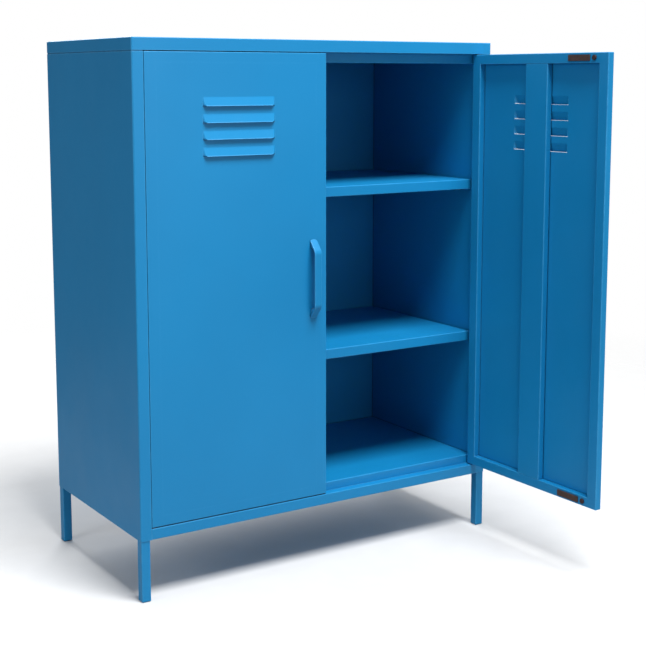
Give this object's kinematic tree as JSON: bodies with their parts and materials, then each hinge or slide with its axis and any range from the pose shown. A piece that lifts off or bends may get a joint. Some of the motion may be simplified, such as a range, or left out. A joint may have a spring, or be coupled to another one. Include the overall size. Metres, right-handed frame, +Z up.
{
  "type": "locker cabinet",
  "caption": "Low steel locker cabinet on square legs, with hinged louvred doors, bow handles and shelves for storage.",
  "frame": {"origin": "on the floor, at the middle of the width, in the plane of the door stops 17 mm behind the front face", "axes": "+X to the right seen from the front, the doors face -Y, +Z up"},
  "size_m": [0.8023, 0.7665, 1.02],
  "materials": {
    "blue_paint": "satin powder coat with a fine orange-peel texture",
    "zinc": "bright zinc plate",
    "pin_steel": "drawn bright steel",
    "nylon": "black nylon",
    "foot_plastic": "matt moulded",
    "magnet": "dark bonded magnet strip",
    "bumper_rubber": "soft matt rubber"
  },
  "bodies": {
    "cabinet": {"top_cap": "blue_paint", "left_side_panel": "blue_paint", "right_side_panel": "blue_paint", "left_liner": "blue_paint", "right_liner": "blue_paint", "back_panel": "blue_paint", "bottom_pan": "blue_paint", "floor_panel": "blue_paint", "top_rail": "blue_paint", "upper_shelf": "blue_paint", "lower_shelf": "blue_paint", "shelf_clips": "zinc", "pivot_bushings": "nylon", "back_screws": "zinc", "cap_screws": "zinc", "front_left_leg": "blue_paint", "front_right_leg": "blue_paint", "rear_left_leg": "blue_paint", "rear_right_leg": "blue_paint", "foot_caps": "foot_plastic", "leg_bolts": "zinc", "leg_nuts": "zinc"},
    "left_door": {"left_door_pan": "blue_paint", "left_door_stiffener": "blue_paint", "left_handle": "blue_paint", "left_handle_screws": "zinc", "left_magnets": "magnet", "left_bumpers": "bumper_rubber", "left_hinge_blocks": "zinc", "left_top_pin": "pin_steel", "left_bottom_pin": "pin_steel"},
    "right_door": {"right_door_pan": "blue_paint", "right_door_stiffener": "blue_paint", "right_handle": "blue_paint", "right_handle_screws": "zinc", "right_magnets": "magnet", "right_bumpers": "bumper_rubber", "right_hinge_blocks": "zinc", "right_top_pin": "pin_steel", "right_bottom_pin": "pin_steel"}
  },
  "joints": [
    {"name": "left_door_hinge", "type": "hinge", "parent": "cabinet", "child": "left_door", "pos_m": [-0.3712, -0.011, 0.56], "axis": [0, 0, 1], "range_deg": [-96, 0]},
    {"name": "right_door_hinge", "type": "hinge", "parent": "cabinet", "child": "right_door", "pos_m": [0.3712, -0.011, 0.56], "axis": [0, 0, 1], "range_deg": [-91, 5]}
  ]
}
